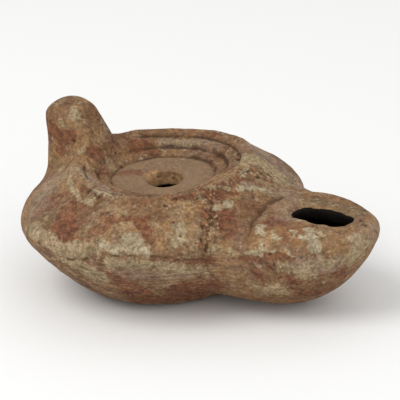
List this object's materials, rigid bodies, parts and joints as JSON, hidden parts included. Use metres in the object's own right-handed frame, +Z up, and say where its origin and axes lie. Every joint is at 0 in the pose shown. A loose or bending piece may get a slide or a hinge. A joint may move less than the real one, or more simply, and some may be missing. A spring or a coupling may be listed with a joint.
{
  "type": "oil lamp",
  "caption": "Small closed clay oil lamp with a ringed concave top, a central filling hole, a rounded nozzle with an oval wick hole and an upright lug handle.",
  "frame": {"origin": "centre of the flat base's underside", "axes": "+X along the nozzle towards its tip, +Z up, so +Y is to the left when looking from the handle to the nozzle"},
  "size_m": [0.0855, 0.063, 0.0375],
  "materials": {
    "fired_clay": "matte, worn slip with lime crust"
  },
  "bodies": {
    "root": {"lamp_body": "fired_clay"}
  },
  "joints": []
}
